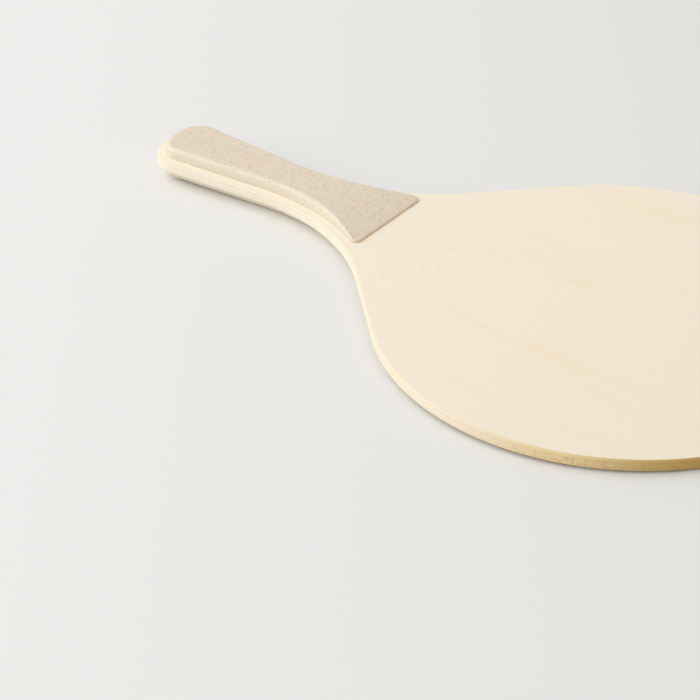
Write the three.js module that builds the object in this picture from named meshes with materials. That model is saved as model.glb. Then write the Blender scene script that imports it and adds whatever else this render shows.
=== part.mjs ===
import * as THREE from 'three';

// A wooden beach-tennis racket: a five-ply board with a round blade and a flared handle,
// and a moulded grip plate bonded to each side of the handle. Millimetres, +Z up.
// +Y runs from the butt to the blade's tip, and the board lies parallel to the XY plane.

// Board outline
const overallLength = 380;
const bladeDiameter = 228;
const buttWidth = 41.6;
const neckWidth = 30.4;
const neckFromButt = 80;
const flareRadius = 104;
const flareAngle = THREE.MathUtils.degToRad(45);
const buttCrownRadius = 32;
const buttCornerRadius = 15;

// Board build-up
const faceVeneerThickness = 1.1;
const crossbandThickness = 1.2;
const coreThickness = 1.2;
const arrisRadius = 1.1;
const leastVeneerStep = 0.02;

// Grip plates and the adhesive film that holds each of them
const gripThickness = 5.2;
const gripSideRound = 2.6;
const gripFrontThickness = 0.8;
const gripFrontRound = 0.5;
const gripTaperFromButt = 80;
const gripTaperPower = 3;
const gripFrontFromButt = 136.5;
const gripLedge = 4.4;
const gripFlareEase = 5.5;
const gripFrontCornerRadius = 2.8;
const adhesiveThickness = 0.2;
const adhesiveMargin = 0.3;

// How finely the curves are divided
const crownSteps = 4;
const cornerSteps = 8;
const handleSteps = 8;
const flareSteps = 12;
const bladeFlankSteps = 14;
const bladeTipSteps = 28;
const frontCornerSteps = 4;
const arrisSteps = 3;
const gripRoundSteps = 5;

// Worked out from the sizes above
const boardThickness = 2 * (faceVeneerThickness + crossbandThickness) + coreThickness;
const buttY = -overallLength / 2;
const boardBottom = gripThickness + adhesiveThickness;
const boardTop = boardBottom + boardThickness;
const bladeRadius = bladeDiameter / 2;
const bladeCentre = new THREE.Vector2(0, overallLength / 2 - bladeRadius);
const crownCentre = new THREE.Vector2(0, buttY + buttCrownRadius);

// The handle's straight side leans in from the butt to the neck by this slope.
const sideSlope = (buttWidth - neckWidth) / 2 / neckFromButt;
const sideStretch = Math.hypot(1, sideSlope);
const sideNormal = new THREE.Vector2(1, sideSlope).divideScalar(sideStretch);

// A point on the handle's side line at a distance from the butt, moved out square to the side.
function sidePoint(fromButt, outward) {
  const onSide = new THREE.Vector2(buttWidth / 2 - sideSlope * fromButt, buttY + fromButt);
  return onSide.addScaledVector(sideNormal, outward);
}

// The straight that joins the flare to the blade touches the blade's circle at the flare angle.
// The flare's centre lies one flare radius off that straight and off the handle's side.
function findFlareCentre() {
  const straightNormal = new THREE.Vector2(Math.sin(flareAngle), -Math.cos(flareAngle));
  const straightRun = new THREE.Vector2(Math.cos(flareAngle), Math.sin(flareAngle));
  const abreast = bladeCentre.clone().addScaledVector(straightNormal, bladeRadius + flareRadius);
  const offSide = abreast.clone().sub(sidePoint(0, flareRadius)).dot(sideNormal);
  return abreast.addScaledVector(straightRun, -offSide / straightRun.dot(sideNormal));
}

// The butt's corner arc touches the crown arc from inside and the handle's side from inside.
function findButtCornerCentre() {
  const start = sidePoint(0, -buttCornerRadius).sub(crownCentre);
  const along = new THREE.Vector2(-sideNormal.y, sideNormal.x);
  const half = start.dot(along);
  const reach = buttCrownRadius - buttCornerRadius;
  const travel = -half - Math.sqrt(half * half - start.lengthSq() + reach * reach);
  return start.addScaledVector(along, travel).add(crownCentre);
}

const flareCentre = findFlareCentre();
const buttCornerCentre = findButtCornerCentre();
const crownEndAngle = buttCornerCentre.clone().sub(crownCentre).angle();
const sideAngle = sideNormal.angle();

// Each outline point holds its place and its outward normal, so an inset outline is the same
// list moved against the normals. A round stretch runs from one angle to another.
function roundStretch(centre, radius, fromAngle, toAngle, steps, outwardSign = 1) {
  const points = [];
  for (let step = 0; step <= steps; step += 1) {
    const angle = THREE.MathUtils.lerp(fromAngle, toAngle, step / steps);
    const ray = new THREE.Vector2(Math.cos(angle), Math.sin(angle));
    const place = centre.clone().addScaledVector(ray, radius);
    points.push({ place, normal: ray.multiplyScalar(outwardSign), frontShare: 0 });
  }
  return points;
}

// A straight stretch between the last point of one list and the first of the next.
function straightStretch(before, after, steps) {
  const from = before[before.length - 1];
  const to = after[0];
  const points = [];
  for (let step = 1; step < steps; step += 1) {
    const place = from.place.clone().lerp(to.place, step / steps);
    points.push({ place, normal: from.normal.clone(), frontShare: 0 });
  }
  return points;
}

// The butt's half outline, from the axis to where the corner meets the handle's side.
// Starting angles are taken below zero, because the butt faces -Y.
function buttHalf(inset) {
  const startAngle = -Math.PI / 2;
  const bend = crownEndAngle - 2 * Math.PI;
  const crown = roundStretch(crownCentre, buttCrownRadius - inset, startAngle, bend, crownSteps);
  crown[0].place.x = 0;
  const corner = roundStretch(buttCornerCentre, buttCornerRadius - inset, bend, sideAngle, cornerSteps);
  return [...crown, ...corner.slice(1)];
}

// The board's half outline on the +X side, from the butt on the axis to the tip on the axis.
function boardHalf() {
  const butt = buttHalf(0);
  const flareEnd = Math.PI / 2 + flareAngle;
  const flare = roundStretch(flareCentre, flareRadius, Math.PI + sideAngle, flareEnd, flareSteps, -1);
  const bladeStart = flareAngle - Math.PI / 2;
  const flank = roundStretch(bladeCentre, bladeRadius, bladeStart, 0, bladeFlankSteps);
  const tip = roundStretch(bladeCentre, bladeRadius, 0, Math.PI / 2, bladeTipSteps);
  tip[tip.length - 1].place.x = 0;
  return [...butt, ...flare, ...flank, ...tip.slice(1)];
}

// A grip plate's half outline: the board's outline inset by the ledge, up to a straight front
// edge with round corners. Its flare is eased to a larger radius than the board's, so that the
// ledge widens towards the front. The front share is 0 on the sides and 1 on the front edge.
function gripHalf() {
  const butt = buttHalf(gripLedge);
  const flareReach = flareRadius + gripLedge + gripFlareEase;
  const easedCentre = flareCentre.clone().addScaledVector(sideNormal, gripFlareEase);
  const centreReach = flareReach + gripFrontCornerRadius;
  const centreY = buttY + gripFrontFromButt - gripFrontCornerRadius;
  const centreX = easedCentre.x - Math.sqrt(centreReach ** 2 - (centreY - easedCentre.y) ** 2);
  const cornerCentre = new THREE.Vector2(centreX, centreY);
  const meetAngle = cornerCentre.clone().sub(easedCentre).angle();
  const flare = roundStretch(easedCentre, flareReach, Math.PI + sideAngle, meetAngle, flareSteps, -1);
  const handle = straightStretch(butt, flare, handleSteps);
  const cornerStart = meetAngle - Math.PI;
  const cornerEnd = Math.PI / 2;
  const corner = roundStretch(
    cornerCentre, gripFrontCornerRadius, cornerStart, cornerEnd, frontCornerSteps,
  );
  corner.forEach((point, index) => {
    point.frontShare = index / frontCornerSteps;
  });
  return [...butt, ...handle, ...flare, ...corner.slice(1)];
}

// A closed solid from a stack of rings, lowest first. Each ring holds the same number of points
// for the +X half, and the -X half mirrors it. Both ends are closed by a ladder of flat rungs.
function ringStack(rings) {
  const count = rings[0].length;
  const positions = [];
  for (const side of [1, -1]) {
    for (const ring of rings) {
      ring.forEach((point) => positions.push(side * point.x, point.y, point.z));
    }
  }
  const right = (level, index) => level * count + index;
  const left = (level, index) => {
    const shift = rings[level][index].x === 0 ? 0 : rings.length * count;
    return right(level, index) + shift;
  };
  const triangles = [];
  const addTriangle = (a, b, c) => {
    if (a !== b && b !== c && c !== a) {
      triangles.push(a, b, c);
    }
  };
  const addQuad = (a, b, c, d) => {
    addTriangle(a, b, c);
    addTriangle(a, c, d);
  };
  const topLevel = rings.length - 1;
  for (let index = 0; index < count - 1; index += 1) {
    const next = index + 1;
    addQuad(right(0, index), left(0, index), left(0, next), right(0, next));
    addQuad(right(topLevel, index), right(topLevel, next), left(topLevel, next), left(topLevel, index));
    for (let level = 0; level < topLevel; level += 1) {
      const above = level + 1;
      addQuad(right(level, index), right(level, next), right(above, next), right(above, index));
      addQuad(left(level, next), left(level, index), left(above, index), left(above, next));
    }
  }
  for (let level = 0; level < topLevel; level += 1) {
    const last = count - 1;
    addQuad(right(level, last), left(level, last), left(level + 1, last), right(level + 1, last));
  }
  const geometry = new THREE.BufferGeometry();
  geometry.setAttribute('position', new THREE.Float32BufferAttribute(positions, 3));
  geometry.setIndex(triangles);
  geometry.computeVertexNormals();
  return geometry;
}

// One flat ring of an outline, inset by a distance, at a height.
function flatRing(half, inset, height) {
  return half.map(({ place, normal }) => {
    const x = place.x === 0 ? 0 : place.x - normal.x * inset;
    return new THREE.Vector3(x, place.y - normal.y * inset, height);
  });
}

// The quarter-round arris is divided at these depths below a face of the board.
function arrisDepths() {
  const depths = [];
  for (let step = 0; step <= arrisSteps; step += 1) {
    const turn = (Math.PI / 2) * (step / arrisSteps);
    depths.push(arrisRadius * (1 - Math.cos(turn)));
  }
  return depths;
}

// How far the board's edge stands back at a height, because of the rounded arrises.
function edgeInset(height) {
  const depth = Math.min(height - boardBottom, boardTop - height);
  const within = Math.max(arrisRadius - depth, 0);
  return arrisRadius - Math.sqrt(arrisRadius ** 2 - within ** 2);
}

// One veneer between two heights, with the part of the rounded arris that falls in it. An arris
// level that all but lies in a glue line is left out.
function veneer(bottom, top) {
  const lowest = bottom + leastVeneerStep;
  const highest = top - leastVeneerStep;
  const inside = (height) => height > lowest && height < highest;
  const fromBelow = arrisDepths().map((depth) => boardBottom + depth).filter(inside);
  const fromAbove = arrisDepths().map((depth) => boardTop - depth).filter(inside).reverse();
  const heights = [bottom, ...fromBelow, ...fromAbove, top];
  return ringStack(heights.map((height) => flatRing(boardOutline, edgeInset(height), height)));
}

// A grip plate is full thickness over the palm and thins towards its front edge.
function gripThicknessAt(y) {
  const past = Math.max(y - buttY - gripTaperFromButt, 0);
  const share = past / (gripFrontFromButt - gripTaperFromButt);
  return gripThickness - (gripThickness - gripFrontThickness) * share ** gripTaperPower;
}

// A grip plate standing on a base height, upwards or downwards: an upright wall and a quarter-round
// above it. Both shrink with the thickness, and the front edge has only the small front round.
function gripPlate(base, direction) {
  const rings = [flatRing(gripOutline, 0, base)];
  for (let step = 0; step <= gripRoundSteps; step += 1) {
    const turn = (Math.PI / 2) * (step / gripRoundSteps);
    const ring = gripOutline.map(({ place, normal, frontShare }) => {
      const thickness = gripThicknessAt(place.y);
      const sideRound = gripSideRound * (thickness / gripThickness);
      const round = THREE.MathUtils.lerp(sideRound, gripFrontRound, frontShare);
      const inset = round * (1 - Math.cos(turn));
      const x = place.x === 0 ? 0 : place.x - normal.x * inset;
      const rise = thickness - round * (1 - Math.sin(turn));
      return new THREE.Vector3(x, place.y - normal.y * inset, base + direction * rise);
    });
    rings.push(ring);
  }
  return ringStack(direction > 0 ? rings : rings.reverse());
}

function adhesiveFilm(bottom) {
  const top = bottom + adhesiveThickness;
  return ringStack([bottom, top].map((height) => flatRing(gripOutline, adhesiveMargin, height)));
}

function material(color, roughness) {
  return new THREE.MeshStandardMaterial({ color, roughness, metalness: 0 });
}

const boardOutline = boardHalf();
const gripOutline = gripHalf();
const faceWood = material(0xf3e8d4, 0.62);
const crossWood = material(0xd8c294, 0.75);
const coreWood = material(0xe6d6b2, 0.72);
const fibrePlastic = material(0xdccdb6, 0.55);
const adhesive = material(0x8a6f48, 0.6);

const group = new THREE.Group();

function addPiece(name, geometry, finish) {
  const mesh = new THREE.Mesh(geometry, finish);
  mesh.name = name;
  group.add(mesh);
}

const plies = [
  { name: 'face_veneer_bottom', thickness: faceVeneerThickness, finish: faceWood },
  { name: 'crossband_bottom', thickness: crossbandThickness, finish: crossWood },
  { name: 'core_veneer', thickness: coreThickness, finish: coreWood },
  { name: 'crossband_top', thickness: crossbandThickness, finish: crossWood },
  { name: 'face_veneer_top', thickness: faceVeneerThickness, finish: faceWood },
];
let plyBottom = boardBottom;
for (const ply of plies) {
  const plyTop = plyBottom + ply.thickness;
  addPiece(ply.name, veneer(plyBottom, plyTop), ply.finish);
  plyBottom = plyTop;
}

addPiece('grip_adhesive_bottom', adhesiveFilm(boardBottom - adhesiveThickness), adhesive);
addPiece('grip_adhesive_top', adhesiveFilm(boardTop), adhesive);
addPiece('grip_plate_bottom', gripPlate(boardBottom - adhesiveThickness, -1), fibrePlastic);
addPiece('grip_plate_top', gripPlate(boardTop + adhesiveThickness, 1), fibrePlastic);

export default group;
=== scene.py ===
# A wooden beach-tennis racket: a five-ply board with a round blade and a flared handle, and a speckled
# grip plate bonded to each side of the handle. Metres, +Z up, +Y from the butt to the blade's tip.

import math

import bpy
import numpy as np
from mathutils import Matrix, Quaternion, Vector


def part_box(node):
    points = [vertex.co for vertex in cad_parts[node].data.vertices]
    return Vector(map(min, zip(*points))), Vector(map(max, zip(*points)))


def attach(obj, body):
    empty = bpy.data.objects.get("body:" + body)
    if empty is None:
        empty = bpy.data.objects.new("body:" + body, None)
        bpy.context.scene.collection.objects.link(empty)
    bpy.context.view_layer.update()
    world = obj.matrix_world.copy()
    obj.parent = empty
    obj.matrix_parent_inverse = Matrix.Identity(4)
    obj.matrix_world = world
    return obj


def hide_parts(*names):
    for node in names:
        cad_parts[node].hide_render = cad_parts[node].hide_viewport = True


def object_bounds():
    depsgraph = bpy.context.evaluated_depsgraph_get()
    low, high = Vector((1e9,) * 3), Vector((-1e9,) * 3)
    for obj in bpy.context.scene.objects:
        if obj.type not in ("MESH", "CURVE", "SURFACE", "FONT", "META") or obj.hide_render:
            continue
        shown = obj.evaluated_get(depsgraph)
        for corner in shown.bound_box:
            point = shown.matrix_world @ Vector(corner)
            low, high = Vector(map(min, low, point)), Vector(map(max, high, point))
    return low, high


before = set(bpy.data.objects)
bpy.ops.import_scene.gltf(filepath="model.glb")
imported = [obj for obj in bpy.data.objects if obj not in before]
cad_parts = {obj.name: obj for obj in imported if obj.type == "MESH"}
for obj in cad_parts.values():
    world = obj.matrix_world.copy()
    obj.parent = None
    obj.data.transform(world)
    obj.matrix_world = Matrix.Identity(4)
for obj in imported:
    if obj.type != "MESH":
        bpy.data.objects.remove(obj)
cadLow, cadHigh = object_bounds()
mm = 0.001
print("frame loaded,", len(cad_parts), "nodes")


# The camera stands where the photograph was taken from, for a picture of 700 x 700.
cameraPlace = {
    "aim": (98.96 * mm, -2.7 * mm, 11.2 * mm),  # a point on the board's top face
    "azimuth": 126.75,  # degrees, 0 looks along +Y and 90 along -X
    "elevation": 33.72,
    "roll": 0.11,
    "distance": 1.102,
    "lens": 129.3,  # millimetres, on a sensor of the next width
    "sensor": 36,
}


def makeCamera(place):
    turn = math.radians(place["azimuth"])
    rise = math.radians(place["elevation"])
    flat = math.cos(rise)
    back = Vector((math.sin(turn) * flat, -math.cos(turn) * flat, math.sin(rise)))
    lensData = bpy.data.cameras.new("camera")
    lensData.lens = place["lens"]
    lensData.sensor_width = place["sensor"]
    camera = bpy.data.objects.new("camera", lensData)
    camera.location = Vector(place["aim"]) + back * place["distance"]
    camera.rotation_mode = "QUATERNION"
    roll = Quaternion((0, 0, 1), math.radians(place["roll"]))
    camera.rotation_quaternion = (-back).to_track_quat("-Z", "Y") @ roll
    bpy.context.scene.collection.objects.link(camera)
    bpy.context.scene.camera = camera


makeCamera(cameraPlace)
print("camera placed")


# One socket of a material's nodes. Sums on it add Math nodes, also with the number written first.
class Wire:
    def __init__(self, tree, socket=None):
        self.tree = tree
        self.socket = socket

    # Any node: its settings first, then the values or wires of its sockets.
    def node(self, kind, settings=None, sockets=None, output=0):
        made = self.tree.nodes.new(kind)
        for setting, value in (settings or {}).items():
            setattr(made, setting, value)
        for name, value in (sockets or {}).items():
            if isinstance(value, Wire):
                self.tree.links.new(value.socket, made.inputs[name])
            else:
                made.inputs[name].default_value = value
        return Wire(self.tree, made.outputs[output]) if made.outputs else made

    def maths(self, operation, *values):
        return self.node("ShaderNodeMath", {"operation": operation}, dict(enumerate(values)))

    def __add__(self, other):
        return self.maths("ADD", self, other)

    __radd__ = __add__

    def __sub__(self, other):
        return self.maths("SUBTRACT", self, other)

    def __rsub__(self, other):
        return self.maths("SUBTRACT", other, self)

    def __mul__(self, other):
        return self.maths("MULTIPLY", self, other)

    __rmul__ = __mul__

    def __truediv__(self, other):
        return self.maths("DIVIDE", self, other)

    def __neg__(self):
        return self.maths("MULTIPLY", self, -1)

    # The places on the piece, in its own coordinates.
    def places(self):
        return self.node("ShaderNodeTexCoord", output="Object")

    # What the mesh holds at each vertex under a name.
    def held(self, attribute):
        return self.node("ShaderNodeAttribute", {"attribute_name": attribute}, output="Fac")

    # The X, Y or Z of some places.
    def along(self, axis):
        return self.node("ShaderNodeSeparateXYZ", {}, {0: self}, output=axis)

    # The places turned about Z and then moved, to reach another stretch of a pattern.
    def shifted(self, location=(0, 0, 0), turn=0):
        sockets = {"Vector": self, "Location": location, "Rotation": (0, 0, turn)}
        return self.node("ShaderNodeMapping", {}, sockets)

    # Noise from 0 to 1 at some places, with features of about the given size, longer along an axis
    # where the stretch is under 1. Limits set the noise off, to none below them and full above.
    def pattern(self, size, stretch=(1, 1, 1), detail=2, roughness=0.5, limits=None):
        drawn = self.node("ShaderNodeVectorMath", {"operation": "MULTIPLY"}, {0: self, 1: stretch})
        sockets = {"Vector": drawn, "Scale": 1 / size, "Detail": detail, "Roughness": roughness}
        noise = self.node("ShaderNodeTexNoise", {}, sockets)
        return noise.rise(*limits) if limits else noise

    # 0 below the first value and 1 above the second, smooth between them.
    def rise(self, low, high):
        sockets = {"Value": self, "From Min": low, "From Max": high}
        return self.node("ShaderNodeMapRange", {"interpolation_type": "SMOOTHSTEP"}, sockets)

    # A soft hump, e to the minus square: 1 where the value is zero, and 0.37 at the given width.
    def hump(self, width):
        return self.maths("EXPONENT", -(self * self) / width**2)

    # The first colour where the share is 0 and the second where it is 1. A Mix node has an A and a B
    # for each kind of data, so the ones for colours are given by number.
    def mix(self, first, second):
        settings = {"data_type": "RGBA"}
        return self.node("ShaderNodeMix", settings, {0: self, 6: first, 7: second}, output=2)

    # The normal of a surface with this height, in metres.
    def bump(self):
        return self.node("ShaderNodeBump", {}, {"Height": self, "Distance": 1})


# A colour written as it looks on the screen, as the linear numbers that a socket takes.
def colour(red, green, blue):
    shares = np.array([red, green, blue]) / 255
    linear = np.where(shares <= 0.04045, shares / 12.92, ((shares + 0.055) / 1.055) ** 2.4)
    return (*linear.tolist(), 1)


# A new material, the wire that its nodes start from, and its shader.
def startMaterial(name):
    material = bpy.data.materials.new(name)
    material.use_nodes = True
    tree = material.node_tree
    return material, Wire(tree), tree.nodes["Principled BSDF"]


# Links wires to the shader's sockets, by the sockets' names.
def feed(bench, shader, sockets):
    for name, wire in sockets.items():
        bench.tree.links.new(wire.socket, shader.inputs[name])


# The lowest and the highest z of a CAD node.
def heightsOf(node):
    return [corner.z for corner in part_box(node)]


sharpTurn = math.radians(35)  # an edge that turns by more than this stays crisp


# A closed piece from rings, lowest first: quads between neighbouring rings, and a fan of triangles
# from a pole to the first and to the last ring. Each attribute has a value for every ring's points.
def addPiece(name, node, material, rings, poles, attributes):
    rows, count = rings.shape[:2]
    vertices = np.concatenate([poles[:1], rings.reshape(-1, 3), poles[1:]])
    here = np.arange(count)
    after = (here + 1) % count
    start = 1 + count * np.arange(rows - 1)[:, None]
    corners = [start + here, start + after, start + count + after, start + count + here]
    quads = np.stack(corners, axis=-1).reshape(-1, 4)
    lowFan = np.stack([0 * here, 1 + after, 1 + here], axis=-1)
    lastRow = 1 + count * (rows - 1)
    highFan = np.stack([0 * here + len(vertices) - 1, lastRow + here, lastRow + after], axis=-1)
    mesh = bpy.data.meshes.new(name)
    mesh.from_pydata(vertices.tolist(), [], lowFan.tolist() + quads.tolist() + highFan.tolist())
    mesh.shade_smooth()
    mesh.set_sharp_from_angle(angle=sharpTurn)
    for attribute, values in attributes.items():
        shares = np.concatenate([values[:1, 0], values.ravel(), values[-1:, 0]])
        mesh.attributes.new(attribute, "FLOAT", "POINT").data.foreach_set("value", shares)
    mesh.materials.append(material)
    piece = bpy.data.objects.new(name, mesh)
    bpy.context.scene.collection.objects.link(piece)
    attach(piece, "root")
    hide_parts(node)


# One ring of a piece: the outline moved in by an inset, at a height. Both may vary round it.
def level(outline, inset, height):
    place = outline[0] - outline[1] * inset
    return np.stack([place.real, place.imag, height + np.zeros(len(place))], axis=-1)


# Rings of a flat face: its rim shrunk towards its centre by each share.
def faceRings(rim, centre, shares):
    return [centre + (rim - centre) * share for share in shares]


# A wave from 0 to 1 round an outline: the mean of sines with whole numbers of cycles.
def wander(count, cycles, seed):
    phases = np.random.default_rng(seed).uniform(0, 2 * math.pi, len(cycles))
    turns = np.linspace(0, 2 * math.pi, count, endpoint=False)
    return 0.5 + 0.5 * np.sin(np.outer(turns, cycles) + phases).mean(axis=1)


# Board: the outline's sizes, and how its edge is finished
board = {
    "bladeRadius": (cadHigh.x - cadLow.x) / 2,
    "buttWidth": 41.6 * mm,
    "neckWidth": 30.4 * mm,
    "neckFromButt": 80 * mm,
    "flareRadius": 104 * mm,
    "flareAngle": math.radians(45),  # of the straight between the flare and the blade
    "buttCrownRadius": 32 * mm,
    "buttCornerRadius": 15 * mm,
    "outlineStep": 0.8 * mm,
    "arrisRadius": 1.1 * mm,
    "arrisSteps": 8,
    "glueGroove": 0.04 * mm,  # how far each veneer's edge is broken beside the glue line
    "sandingDepth": 0.05 * mm,  # how far the hand-sanded edge wanders in
    "sandingCycles": [3, 7, 13, 29, 47],
    "sandingSeed": 5,
    "plyDepth": 0.02 * mm,  # how far one veneer stands back from the next
    "plyCycles": [9, 23, 51, 83],
    "faceShares": [0.5, 0.9, 0.995],  # rings of a flat face, from its centre out
}

buttY = cadLow.y
tipY = cadHigh.y
bladeCentre = 1j * (tipY - board["bladeRadius"])
crownCentre = 1j * (buttY + board["buttCrownRadius"])
sideSlope = (board["buttWidth"] - board["neckWidth"]) / 2 / board["neckFromButt"]
sideNormal = (1 + 1j * sideSlope) / abs(1 + 1j * sideSlope)
sideAngle = np.angle(sideNormal)


# Outlines are complex numbers, x + y*1j. This is how far one of them reaches along another.
def reach(place, direction):
    return (place * np.conj(direction)).real


# The flare's centre lies one flare radius off the handle's side, and one off the straight that touches
# the blade's circle at the flare angle.
def findFlareCentre():
    run = np.exp(1j * board["flareAngle"])
    abreast = bladeCentre - 1j * run * (board["bladeRadius"] + board["flareRadius"])
    onSide = board["buttWidth"] / 2 + 1j * buttY + sideNormal * board["flareRadius"]
    return abreast - run * reach(abreast - onSide, sideNormal) / reach(run, sideNormal)


# The butt's corner arc touches both the crown arc and the handle's side from inside.
def findCornerCentre():
    start = board["buttWidth"] / 2 + 1j * buttY - sideNormal * board["buttCornerRadius"] - crownCentre
    half = reach(start, 1j * sideNormal)
    gap = board["buttCrownRadius"] - board["buttCornerRadius"]
    travel = -half - math.sqrt(half**2 - abs(start) ** 2 + gap**2)
    return start + 1j * sideNormal * travel + crownCentre


flareCentre = findFlareCentre()
cornerCentre = findCornerCentre()
crownEnd = np.angle(cornerCentre - crownCentre)


# A round stretch: places and outward normals at even angles, in four steps or more.
def arc(centre, radius, fromAngle, toAngle, outward=1):
    count = max(4, round(radius * abs(toAngle - fromAngle) / board["outlineStep"]))
    ray = np.exp(1j * np.linspace(fromAngle, toAngle, count + 1))
    return np.array([centre + radius * ray, outward * ray])


# A straight stretch from the end of one stretch to the start of the next, in two steps or more.
def straight(before, after):
    start, normal = before[:, -1]
    end = after[0, 0]
    count = max(2, round(abs(end - start) / board["outlineStep"]))
    share = np.linspace(0, 1, count + 1)
    return np.array([start + (end - start) * share, np.full(count + 1, normal)])


# A closed outline: the stretches of the +X half joined end to end, then the same ones mirrored. Its
# first row holds the places and its second the outward normals.
def closedOutline(stretches):
    half = np.concatenate([stretches[0]] + [stretch[:, 1:] for stretch in stretches[1:]], axis=1)
    half[0, [0, -1]] = 1j * half[0, [0, -1]].imag
    half[1, [0, -1]] = [-1j, 1j]
    return np.concatenate([half, -np.conj(half[:, -2:0:-1])], axis=1)


# The butt's crown arc and corner arc, moved in by an inset.
def buttStretches(inset):
    crown = arc(crownCentre, board["buttCrownRadius"] - inset, -math.pi / 2, crownEnd)
    corner = arc(cornerCentre, board["buttCornerRadius"] - inset, crownEnd, sideAngle)
    return [crown, corner]


# Butt crown and corner, handle side, flare, straight shoulder, and the blade's circle.
def boardOutline():
    butt = buttStretches(0)
    flareEnd = math.pi / 2 + board["flareAngle"]
    flare = arc(flareCentre, board["flareRadius"], math.pi + sideAngle, flareEnd, -1)
    blade = arc(bladeCentre, board["bladeRadius"], board["flareAngle"] - math.pi / 2, math.pi / 2)
    return closedOutline([*butt, straight(butt[-1], flare), flare, straight(flare, blade), blade])


# Wood: each veneer is cut from one solid pattern, with its grain along Y before the veneer's turn.
wood = {
    "fibre": {"size": 0.5 * mm, "stretch": (1, 1 / 40, 1), "detail": 3, "roughness": 0.6},
    "fleck": {"size": 0.3 * mm, "stretch": (1, 1 / 14, 1), "detail": 1, "limits": (0.62, 0.74)},
    "cloud": {"size": 30 * mm, "stretch": (1, 1 / 4, 1)},
    "pore": {"size": 0.55 * mm, "stretch": (1, 1 / 2, 1), "roughness": 0.7, "limits": (0.54, 0.72)},
    "bend": {"size": 30 * mm, "stretch": (1, 1 / 2, 1)},
    "tear": {
        "size": 1.3 * mm,
        "stretch": (1, 1, 0.7),
        "detail": 3,
        "roughness": 0.65,
        "limits": (0.52, 0.66),
    },
    "faceColour": colour(250, 239, 218),
    # Painted shade: the face's tone turns a little darker towards the blade's tip, away from the light
    "faceShadedTipColour": colour(246, 234, 212),
    "tipShadeTone": (-40 * mm, 170 * mm),  # from where to where along the racket a tone changes
    "ringColour": colour(249, 227, 184),
    "ringWander": 1.5 * mm,
    "ringFadeShare": 0.35,  # the share of a ring's length that it fades in over, and out
    "ringFibre": 1.2,  # how much the fibre breaks a ring up
    "ringLeast": 0.2,  # and how much of it stays everywhere
    "cloudLimits": (0.4, 0.75),
    "cloudShare": 0.06,
    "streakLimits": (0.5, 0.8),
    "streakShare": 0.08,
    "fleckColour": colour(226, 204, 170),
    "fleckShare": 0.18,
    "poreAndShadeColour": colour(172, 134, 80),
    "poreShare": 0.08,
    "brownPoreShare": 0.16,  # and this much more where the edge is brown
    # The sawn edge's tones along the racket are partly the wood's own and partly painted light and shade:
    # pale where the edge faces the light, yellow and brown where it turns away
    "handleColour": colour(251, 240, 221),
    "edgeColour": colour(248, 236, 213),
    "edgeTone": (-80 * mm, -25 * mm),
    "yellowColour": colour(241, 217, 166),
    "yellowWoodAndShadeTone": (50 * mm, 118 * mm),
    "brownColour": colour(200, 165, 92),
    "brownWoodAndShadeTone": (108 * mm, 162 * mm),
    "tearColour": colour(192, 146, 96),
    "tearTone": (86 * mm, 100 * mm),
    "tearDepth": 0.2 * mm,
    # Painted shade: the arris is darkened midway round its curve, which tones its highlight down
    "arrisPaintedShade": 0.75,
    "sawnLimits": (0, 0.5),  # how steep the arris is where the face's colour ends and the edge's is full
    "roughness": 0.6,
    "fibreRoughness": 0.2,
    "sawnRoughness": 0.12,
    "fibreHeight": 0.01 * mm,
    "poreHeight": 0.03 * mm,
    "ior": 1.4,
}

# The growth rings that show on a face, in millimetres: x and y where each one starts and ends, how far
# its middle bows along x, its half width, and its strength
faceRingsTop = [
    (36.5, -38, 47, 34, -1.7, 1.5, 0.5),
    (41.5, -8, 50, 80, 2.6, 1.4, 0.6),
    (48.5, 46, 51, 98, 0, 5.5, 0.5),
    (47, 80, 46, 132, 0, 1.4, 0.35),
    (51, 82, 52, 124, 0, 1.4, 0.4),
    (54, 72, 67, 160, 2.5, 1.8, 0.6),
    (88, 14, 89, 146, 3, 1.3, 0.45),
    (2.5, -26, 2, -2, 0, 2.6, 0.5),
    (-8, -14, -3, 28, 0, 1.4, 0.45),
    (-3, 14, -14, 84, 0, 1.4, 0.3),
    (-6, 30, -11, 66, 0, 4.2, 0.38),
    (-31, -2, -29, 40, 0, 4.5, 0.3),
    (-18, 0, -12, 52, 0, 4, 0.3),
    (-74, -10, -96, 110, 0, 9, 0.42),
]
faceRingsBottom = [
    (-62, -60, -58, 150, 4, 1.5, 0.5),
    (-55, 20, -52, 130, 2, 6, 0.4),
    (-20, -40, -24, 90, -3, 1.3, 0.5),
    (6, 0, 12, 160, 3, 1.5, 0.5),
    (31, -70, 34, 70, 2, 4, 0.4),
    (74, -10, 70, 140, 3, 1.3, 0.5),
]

# The veneers from the bottom up: how far the grain is turned, how many metres along the solid pattern
# the leaf was cut, how much the sawn edge is dulled, and how much of its grain the saw tore out
veneers = [
    {
        "node": "face_veneer_bottom",
        "slot": "face_wood",
        "turn": 0,
        "leaf": 0.31,
        "dulling": 0.0,
        "tearing": 0.1,
        "rings": faceRingsBottom,
    },
    {
        "node": "crossband_bottom",
        "slot": "crossband_wood",
        "turn": math.pi / 2,
        "leaf": 0.87,
        "dulling": 0.1,
        "tearing": 0.6,
        "rings": [],
    },
    {
        "node": "core_veneer",
        "slot": "core_wood",
        "turn": 0,
        "leaf": 1.43,
        "dulling": 0.02,
        "tearing": 0.45,
        "rings": [],
    },
    {
        "node": "crossband_top",
        "slot": "crossband_wood",
        "turn": math.pi / 2,
        "leaf": 1.99,
        "dulling": 0.1,
        "tearing": 0.3,
        "rings": [],
    },
    {
        "node": "face_veneer_top",
        "slot": "face_wood",
        "turn": 0,
        "leaf": 2.57,
        "dulling": 0.0,
        "tearing": 0.0,
        "rings": faceRingsTop,
    },
]


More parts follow.
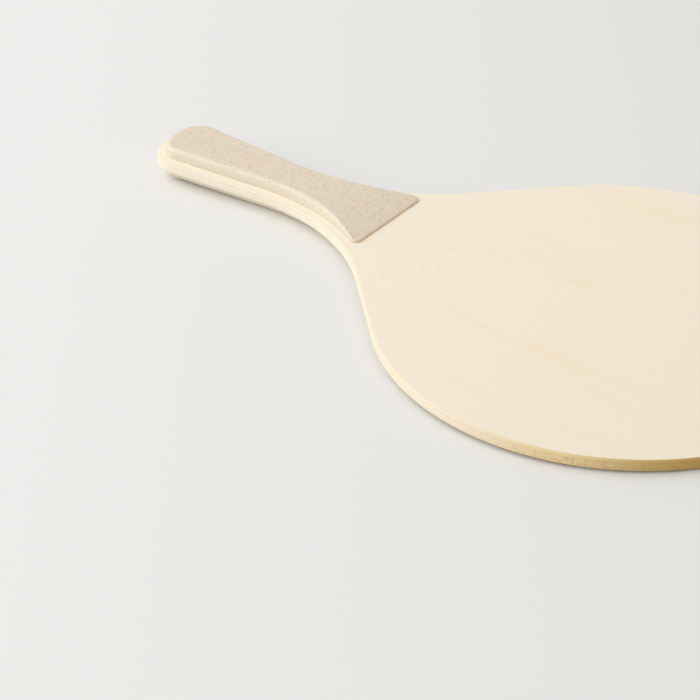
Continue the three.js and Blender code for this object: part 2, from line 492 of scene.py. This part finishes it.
# How strongly one growth ring shows: a hump across a parabola, which fades in and out along it.
def growthRing(x, y, ring):
    firstX, firstY, lastX, lastY, bow, width, strength = ring
    fade = wood["ringFadeShare"]
    share = (y - firstY * mm) / ((lastY - firstY) * mm)
    shown = share.rise(0, fade) * (1 - share.rise(1 - fade, 1))
    centre = firstX * mm + share * ((lastX - firstX) * mm) + share * (1 - share) * (4 * bow * mm)
    return (x - centre).hump(width * mm) * shown * strength


def woodMaterial(veneer):
    material, bench, shader = startMaterial(veneer["node"] + "_wood")
    places = bench.places()
    x, y = places.along("X"), places.along("Y")
    grain = places.shifted((veneer["leaf"], 0, 0), veneer["turn"])
    fibre = grain.pattern(**wood["fibre"])
    fleck = grain.pattern(**wood["fleck"])
    cloud = grain.pattern(**wood["cloud"])
    pore = grain.pattern(**wood["pore"])
    bend = grain.pattern(**wood["bend"])
    torn = places.pattern(**wood["tear"])
    sawn = bench.held("sawn")

    waveX = x + (bend - 0.5) * (2 * wood["ringWander"])
    rings = sum(growthRing(waveX, y, ring) for ring in veneer["rings"])
    rings = rings * bench.maths("MAXIMUM", wood["ringFibre"] * fibre, wood["ringLeast"])
    # Painted shade: the face is a little darker towards the blade's tip
    faceShadeTone = y.rise(*wood["tipShadeTone"]).mix(wood["faceColour"], wood["faceShadedTipColour"])
    ringed = rings.mix(faceShadeTone, wood["ringColour"])
    clouding = cloud.rise(*wood["cloudLimits"]) * wood["cloudShare"]
    streaking = fibre.rise(*wood["streakLimits"]) * wood["streakShare"]
    streaked = streaking.mix(clouding.mix(ringed, wood["ringColour"]), wood["ringColour"])
    flecked = (fleck * wood["fleckShare"]).mix(streaked, wood["fleckColour"])

    # The sawn edge is palest on the handle, and turns yellow and then brown towards the blade's tip.
    # This is partly the wood's own tone and partly painted light and shade: pale where the edge faces the
    # light, browner where it turns away.
    brownWoodAndShade = y.rise(*wood["brownWoodAndShadeTone"])
    paled = y.rise(*wood["edgeTone"]).mix(wood["handleColour"], wood["edgeColour"])
    yellowed = y.rise(*wood["yellowWoodAndShadeTone"]).mix(paled, wood["yellowColour"])
    edgeTone = brownWoodAndShade.mix(yellowed, wood["brownColour"])
    pitting = pore * (wood["poreShare"] + wood["brownPoreShare"] * brownWoodAndShade)
    dulled = (veneer["dulling"] + pitting).mix(edgeTone, wood["poreAndShadeColour"])
    tearing = torn * y.rise(*wood["tearTone"]) * veneer["tearing"]
    tornTone = tearing.mix(dulled, wood["tearColour"])
    # Painted shade on the arris, strongest midway round it, which tones down the highlight there
    arrisShaded = (sawn * (1 - sawn) * wood["arrisPaintedShade"]).mix(tornTone, wood["poreAndShadeColour"])
    base = sawn.rise(*wood["sawnLimits"]).mix(flecked, arrisShaded)

    rough = wood["roughness"] + (fibre - 0.5) * wood["fibreRoughness"] + sawn * wood["sawnRoughness"]
    height = fibre * wood["fibreHeight"] - sawn * (pore * wood["poreHeight"] + tearing * wood["tearDepth"])
    feed(bench, shader, {"Base Color": base, "Roughness": rough, "Normal": height.bump()})
    shader.inputs["IOR"].default_value = wood["ior"]
    return material


# How far the board's edge stands back at a height. On a quarter-round arris it is the radius, less the
# root of the radius squared minus the square of how far the height lies beyond the round's centre.
def arrisInset(height):
    depth = min(height - boardBottom, boardTop - height)
    within = board["arrisRadius"] - np.clip(depth, 0, board["arrisRadius"])
    return board["arrisRadius"] - math.sqrt(board["arrisRadius"] ** 2 - within**2)


# A veneer: its two flat faces, and its band of the edge with a broken corner beside each glue line. Each
# ring is the outline moved in by the arris, the sanding and the ply's own waves. The sawn share is 1 on
# the upright edge and falls to 0 over the arris.
def addVeneer(veneer, number):
    low, high = heightsOf(veneer["node"])
    groove = board["glueGroove"]
    angles = np.linspace(0, math.pi / 2, board["arrisSteps"] + 1)
    roundDepth = board["arrisRadius"] * (1 - np.cos(angles))
    lowEdge = low + roundDepth if number == 0 else [low, low + groove]
    highEdge = high - roundDepth if number == len(veneers) - 1 else [high - groove, high]
    heights = np.unique(np.round([*lowEdge, *highEdge], 8))  # lowest first, and each one once
    count = outline.shape[1]
    standBack = board["sandingDepth"] * sanding
    standBack = standBack + board["plyDepth"] * wander(count, board["plyCycles"], number)
    rings, sawn = [], []
    for height in heights:
        atGlue = groove if height in (heights[0], heights[-1]) and arrisInset(height) < groove else 0
        rings.append(level(outline, arrisInset(height) + standBack + atGlue, height))
        sawn.append(1 - arrisInset(height) / board["arrisRadius"])
    lowCentre = np.array([0, bladeCentre.imag, low])
    highCentre = np.array([0, bladeCentre.imag, high])
    shares = board["faceShares"]
    under = faceRings(rings[0], lowCentre, shares)
    over = faceRings(rings[-1], highCentre, shares[::-1])
    sawn = np.outer(np.pad(sawn, (len(under), len(over))), np.ones(count))
    addPiece(
        veneer["node"] + "_fine",
        veneer["node"],
        woodMaterial(veneer),
        np.array(under + rings + over),
        np.array([lowCentre, highCentre]),
        {"sawn": sawn},
    )


outline = boardOutline()
sanding = wander(outline.shape[1], board["sandingCycles"], board["sandingSeed"])
boardBottom = heightsOf("face_veneer_bottom")[0]
boardTop = heightsOf("face_veneer_top")[1]
for number, veneer in enumerate(veneers):
    addVeneer(veneer, number)
print("board:", len(veneers), "veneers,", outline.shape[1], "points round the outline")


# Grip plates: their outline inside the board's, how they thin forwards, and how their edges are rounded
grip = {
    "ledge": 4.4 * mm,  # the board's margin beside the plate
    "flareEase": 5.5 * mm,  # how much flatter the plate's flare is than the board's
    "frontFromButt": 136.5 * mm,
    "frontCornerRadius": 2.8 * mm,
    "frontThickness": 0.8 * mm,
    "frontRound": 0.5 * mm,
    "sideRound": 2.6 * mm,
    "roundSteps": 16,
    "taperFromButt": 80 * mm,
    "taperPower": 3,
    "centreShare": 0.75,  # where along the plate the rings of its faces close in
    "flatShares": [0.5, 0.97],  # rings of a flat face, from its centre out
    "outerShares": np.linspace(0.99, 0.05, 48),  # rings of the outer face, from its rim in
}

# Their moulding: a satin plastic filled with plant fibre
fibrePlastic = {
    "mottle": {"size": 5 * mm, "detail": 3, "roughness": 0.6, "limits": (0.3, 0.7)},
    "blotch": {"size": 2.4 * mm, "roughness": 0.6, "limits": (0.5, 0.75)},
    "speck": {"size": 1.5 * mm, "limits": (0.58, 0.76)},
    "grain": {"size": 0.8 * mm, "detail": 1, "limits": (0.3, 0.7)},
    "strand": {"size": 0.7 * mm, "stretch": (1, 0.2, 1), "detail": 0, "limits": (0.7, 0.84)},
    "skin": {"size": 0.35 * mm},
    "baseColour": colour(232, 216, 194),
    "paleColour": colour(243, 231, 213),
    "mottleShare": 0.3,
    "tanColour": colour(216, 190, 156),
    "blotchShare": 0.3,
    "grainShare": 0.16,
    "brownColour": colour(168, 138, 112),
    "speckShare": 0.4,
    "strandShare": 0.35,
    "strandTurns": (0.5, 1.6, 2.7),  # radians, the ways that the fibres lie
    # Painted highlight: a paler, whiter cast over the plate's upright sides and their round, fading
    # towards the top
    "rimHighlightColour": colour(225, 227, 208),  # of the upright sides
    "rimHighlightShare": 0.36,
    # Painted light: a warm orange on the thin front edge, which faces away from the light, standing in for
    # light bounced from the wood
    "frontWarmLightColour": colour(244, 213, 168),  # of the thin front edge
    "roughness": 0.42,
    "skinRoughness": 0.2,
    "speckRoughness": 0.08,
    "rimRoughness": 0.2,
    "skinHeight": 0.02 * mm,
    "ior": 1.6,
}


# The board's outline inset by the ledge, with its flare eased so that the ledge widens forwards, up to
# a straight front edge with round corners.
def gripOutline():
    butt = buttStretches(grip["ledge"])
    easedRadius = board["flareRadius"] + grip["ledge"] + grip["flareEase"]
    easedCentre = flareCentre + sideNormal * grip["flareEase"]
    radius = grip["frontCornerRadius"]
    frontY = buttY + grip["frontFromButt"]
    below = frontY - radius - easedCentre.imag
    centre = easedCentre.real - math.sqrt((easedRadius + radius) ** 2 - below**2) + 1j * (frontY - radius)
    meet = np.angle(centre - easedCentre) % (2 * math.pi)
    flare = arc(easedCentre, easedRadius, math.pi + sideAngle, meet, -1)
    corner = arc(centre, radius, meet - math.pi, math.pi / 2)
    front = straight(corner, np.array([[1j * frontY], [1j]]))
    return closedOutline([*butt, straight(butt[-1], flare), flare, corner, front])


def fibrePlasticMaterial(name, shift):
    material, bench, shader = startMaterial(name)
    places = bench.places().shifted((shift, 0, 0))
    front, rim = bench.held("front"), bench.held("rim")
    mottle = places.pattern(**fibrePlastic["mottle"])
    blotch = places.pattern(**fibrePlastic["blotch"])
    speck = places.pattern(**fibrePlastic["speck"])
    grain = places.pattern(**fibrePlastic["grain"])
    skin = places.pattern(**fibrePlastic["skin"])
    lays = [places.shifted(turn=turn) for turn in fibrePlastic["strandTurns"]]
    strands = bench.maths("MINIMUM", sum(lay.pattern(**fibrePlastic["strand"]) for lay in lays), 1)

    mottling = mottle * fibrePlastic["mottleShare"]
    toned = mottling.mix(fibrePlastic["baseColour"], fibrePlastic["paleColour"])
    tanning = blotch * fibrePlastic["blotchShare"] + grain * fibrePlastic["grainShare"]
    tanned = tanning.mix(toned, fibrePlastic["tanColour"])
    specked = (speck * fibrePlastic["speckShare"]).mix(tanned, fibrePlastic["brownColour"])
    stranded = (strands * fibrePlastic["strandShare"]).mix(specked, fibrePlastic["brownColour"])
    # Painted highlight on the sides
    rimHighlighted = (rim * fibrePlastic["rimHighlightShare"]).mix(stranded, fibrePlastic["rimHighlightColour"])
    # Painted warm light on the front edge, which lies in shade
    base = front.mix(rimHighlighted, fibrePlastic["frontWarmLightColour"])

    rough = fibrePlastic["roughness"] + (skin - 0.5) * fibrePlastic["skinRoughness"]
    rough = rough + speck * fibrePlastic["speckRoughness"] + rim * fibrePlastic["rimRoughness"]
    height = skin * fibrePlastic["skinHeight"] - speck * fibrePlastic["skinHeight"]
    feed(bench, shader, {"Base Color": base, "Roughness": rough, "Normal": height.bump()})
    shader.inputs["IOR"].default_value = fibrePlastic["ior"]
    return material


# Full thickness over the palm, then thinning by a power of the way to the front edge.
def gripThicknessAt(y):
    past = np.maximum(y - buttY - grip["taperFromButt"], 0)
    share = past / (grip["frontFromButt"] - grip["taperFromButt"])
    return fullThickness - (fullThickness - grip["frontThickness"]) * share ** grip["taperPower"]


# The middle of a plate's faces, at a height.
def gripCentre(height):
    return np.array([0, buttY + grip["frontFromButt"] * grip["centreShare"], height])


# A plate built away from its bonded face: an upright wall, and a quarter-round over it. At each turn
# the outline moves in by the rounding times one less the cosine, and lies short of the outer face by the
# rounding times one less the sine. The rounding shrinks with the thickness, and the front edge has its
# own. The material reads how steep the surface is, apart for the front edge, where it paints warm light,
# and for the sides, where it paints a highlight.
def addGripPlate(node, material, base, direction):
    thickness = gripThicknessAt(plateOutline[0].imag)
    facing = np.clip(plateOutline[1].imag, 0, 1)
    onFront = plateOutline[0].imag > buttY + grip["frontFromButt"] - grip["frontCornerRadius"]
    frontShare = np.where(onFront, np.arcsin(facing) / (math.pi / 2), 0)
    sideRound = grip["sideRound"] * thickness / fullThickness
    rounding = sideRound + (grip["frontRound"] - sideRound) * frontShare
    rings = [level(plateOutline, 0, base)]
    turns = np.linspace(0, math.pi / 2, grip["roundSteps"] + 1)
    for turn in turns:
        ring = level(plateOutline, rounding * (1 - math.cos(turn)), base)
        ring[:, 2] += direction * (gripThicknessAt(ring[:, 1]) - rounding * (1 - math.sin(turn)))
        rings.append(ring)
    centre = gripCentre(base)
    under = faceRings(rings[0], centre, grip["flatShares"])
    over = faceRings(rings[-1], centre, grip["outerShares"])
    for ring in over:
        ring[:, 2] = base + direction * gripThicknessAt(ring[:, 1])
    outer = centre + [0, 0, direction * gripThicknessAt(centre[1])]
    steep = np.pad([1, *np.cos(turns)], (len(under), len(over)))
    rings = np.array(under + rings + over)
    poles = np.array([centre, outer])
    if direction < 0:
        rings = rings[::-1]
        poles = poles[::-1]
        steep = steep[::-1]
    edges = {"front": np.outer(steep, frontShare), "rim": np.outer(steep, 1 - frontShare)}
    addPiece(node + "_fine", node, material, rings, poles, edges)


plateOutline = gripOutline()
topBase, topFace = heightsOf("grip_plate_top")
bottomBase = heightsOf("grip_plate_bottom")[1]
fullThickness = topFace - topBase
topPlastic = fibrePlasticMaterial("fibre_plastic_top", shift=0.2)
bottomPlastic = fibrePlasticMaterial("fibre_plastic_bottom", shift=0.7)
addGripPlate("grip_plate_top", topPlastic, topBase, direction=1)
addGripPlate("grip_plate_bottom", bottomPlastic, bottomBase, direction=-1)
print("grip plates:", plateOutline.shape[1], "points round the outline")


# Adhesive: a thin brown film whose edge wanders a little inside the plate's outline
film = {
    "margin": 0.05 * mm,  # the least distance inside the plate's outline
    "wander": 0.3 * mm,  # and how much further in it may lie
    "cycles": [5, 11, 23, 37],
    "cloud": {"size": 3 * mm, "detail": 3},
    "cloudLimits": (0.3, 0.7),
    "paleColour": colour(196, 152, 92),
    "darkColour": colour(164, 122, 70),
    "roughness": 0.45,
    "cloudRoughness": 0.2,
    "cloudHeight": 0.05 * mm,
}


def adhesiveMaterial():
    material, bench, shader = startMaterial("adhesive")
    cloud = bench.places().pattern(**film["cloud"])
    base = cloud.rise(*film["cloudLimits"]).mix(film["paleColour"], film["darkColour"])
    rough = film["roughness"] + cloud * film["cloudRoughness"]
    normal = (cloud * film["cloudHeight"]).bump()
    feed(bench, shader, {"Base Color": base, "Roughness": rough, "Normal": normal})
    return material


# A film between its two flat faces, with an upright edge.
def addFilm(node, material, seed):
    low, high = heightsOf(node)
    margin = film["margin"] + film["wander"] * wander(plateOutline.shape[1], film["cycles"], seed)
    poles = np.array([gripCentre(low), gripCentre(high)])
    shares = grip["flatShares"]
    rings = [level(plateOutline, margin, low), level(plateOutline, margin, high)]
    rings = faceRings(rings[0], poles[0], shares) + rings + faceRings(rings[1], poles[1], shares[::-1])
    addPiece(node + "_fine", node, material, np.array(rings), poles, {})


adhesive = adhesiveMaterial()
addFilm("grip_adhesive_bottom", adhesive, seed=3)
addFilm("grip_adhesive_top", adhesive, seed=4)
print("adhesive films made")


# Studio: a pale floor with painted shade towards the right of the picture, one soft light from the left of
# the picture, and an even pale surround
studio = {
    "floorSpan": 30,  # metres, as the other lengths here
    "floor": colour(243, 242, 240),
    # Painted shade: the floor darkens towards the right of the picture, as light from the left would fall
    # off
    "floorShadedRight": colour(227, 227, 224),  # its tone towards the right of the picture
    "floorShadeTurn": 126.75,  # degrees from +X, the way its tone falls off
    "floorShadeFade": 0.45,
    "floorRoughness": 0.9,
    "floorSpecular": 0.2,
    "touchingPlaces": 400,  # how many places along the grip plate are tried for a touch
    "surround": colour(238, 237, 235),
    "fillColour": (1, 1, 1, 1),
    "fill": 0.54,
    "keyTurn": -53,  # degrees from +X, so the light comes from the left of the picture
    "keyRise": 41,  # degrees up from the board's plane
    "keyDistance": 5.6,
    "keySize": 7.93,
    "keyPower": 283,  # watts
}


# The racket rests on the lower grip plate and the blade's tip. The slope of a floor that touches both
# is the steepest that a line from the lowest point of the tip's rim has to a point of the plate.
def restingSlope(rimY):
    touching = np.linspace(buttY, buttY + grip["frontFromButt"], studio["touchingPlaces"])
    under = bottomBase - gripThicknessAt(touching)
    return ((boardBottom - under) / (rimY - touching)).max()


def addFloor():
    rimY = tipY - board["arrisRadius"]
    slope = restingSlope(rimY)
    half = studio["floorSpan"] / 2
    sides = [(-half, -half), (half, -half), (half, half), (-half, half)]
    mesh = bpy.data.meshes.new("floor")
    mesh.from_pydata([(x, y, boardBottom + slope * (y - rimY)) for x, y in sides], [], [(0, 1, 2, 3)])
    material, bench, shader = startMaterial("floor")
    places = bench.places()
    # Painted shade: the floor's colour turns darker towards the right of the picture
    turn = math.radians(studio["floorShadeTurn"])
    across = places.along("X") * math.cos(turn) + places.along("Y") * math.sin(turn)
    fade = across.rise(-studio["floorShadeFade"], studio["floorShadeFade"])
    feed(bench, shader, {"Base Color": fade.mix(studio["floor"], studio["floorShadedRight"])})
    shader.inputs["Roughness"].default_value = studio["floorRoughness"]
    shader.inputs["Specular IOR Level"].default_value = studio["floorSpecular"]
    mesh.materials.append(material)
    floor = bpy.data.objects.new("floor", mesh)
    bpy.context.scene.collection.objects.link(floor)


def addKey():
    turn = math.radians(studio["keyTurn"])
    rise = math.radians(studio["keyRise"])
    away = Vector((math.cos(turn) * math.cos(rise), math.sin(turn) * math.cos(rise), math.sin(rise)))
    light = bpy.data.lights.new("key", "AREA")
    light.shape = "DISK"
    light.size = studio["keySize"]
    light.energy = studio["keyPower"]
    key = bpy.data.objects.new("key", light)
    key.location = away * studio["keyDistance"]
    key.rotation_mode = "QUATERNION"
    key.rotation_quaternion = (-away).to_track_quat("-Z", "Y")
    bpy.context.scene.collection.objects.link(key)


# The surround lights the racket with its fill, and shows the camera and reflections its own colour.
def addSurround():
    world = bpy.data.worlds.new("surround")
    world.use_nodes = True
    bench = Wire(world.node_tree)
    world.node_tree.nodes.clear()
    rays = ("Is Camera Ray", "Is Glossy Ray", "Is Transmission Ray")
    seen = sum(bench.node("ShaderNodeLightPath", output=ray) for ray in rays)
    shown = bench.maths("MINIMUM", seen, 1)
    fillSockets = {"Color": studio["fillColour"], "Strength": studio["fill"]}
    fill = bench.node("ShaderNodeBackground", {}, fillSockets)
    backdrop = bench.node("ShaderNodeBackground", {}, {"Color": studio["surround"], "Strength": 1})
    surface = bench.node("ShaderNodeMixShader", {}, {0: shown, 1: fill, 2: backdrop})
    bench.node("ShaderNodeOutputWorld", {}, {"Surface": surface})
    bpy.context.scene.world = world


addFloor()
addKey()
addSurround()
bpy.context.scene.view_settings.view_transform = "Standard"
print("studio lit")
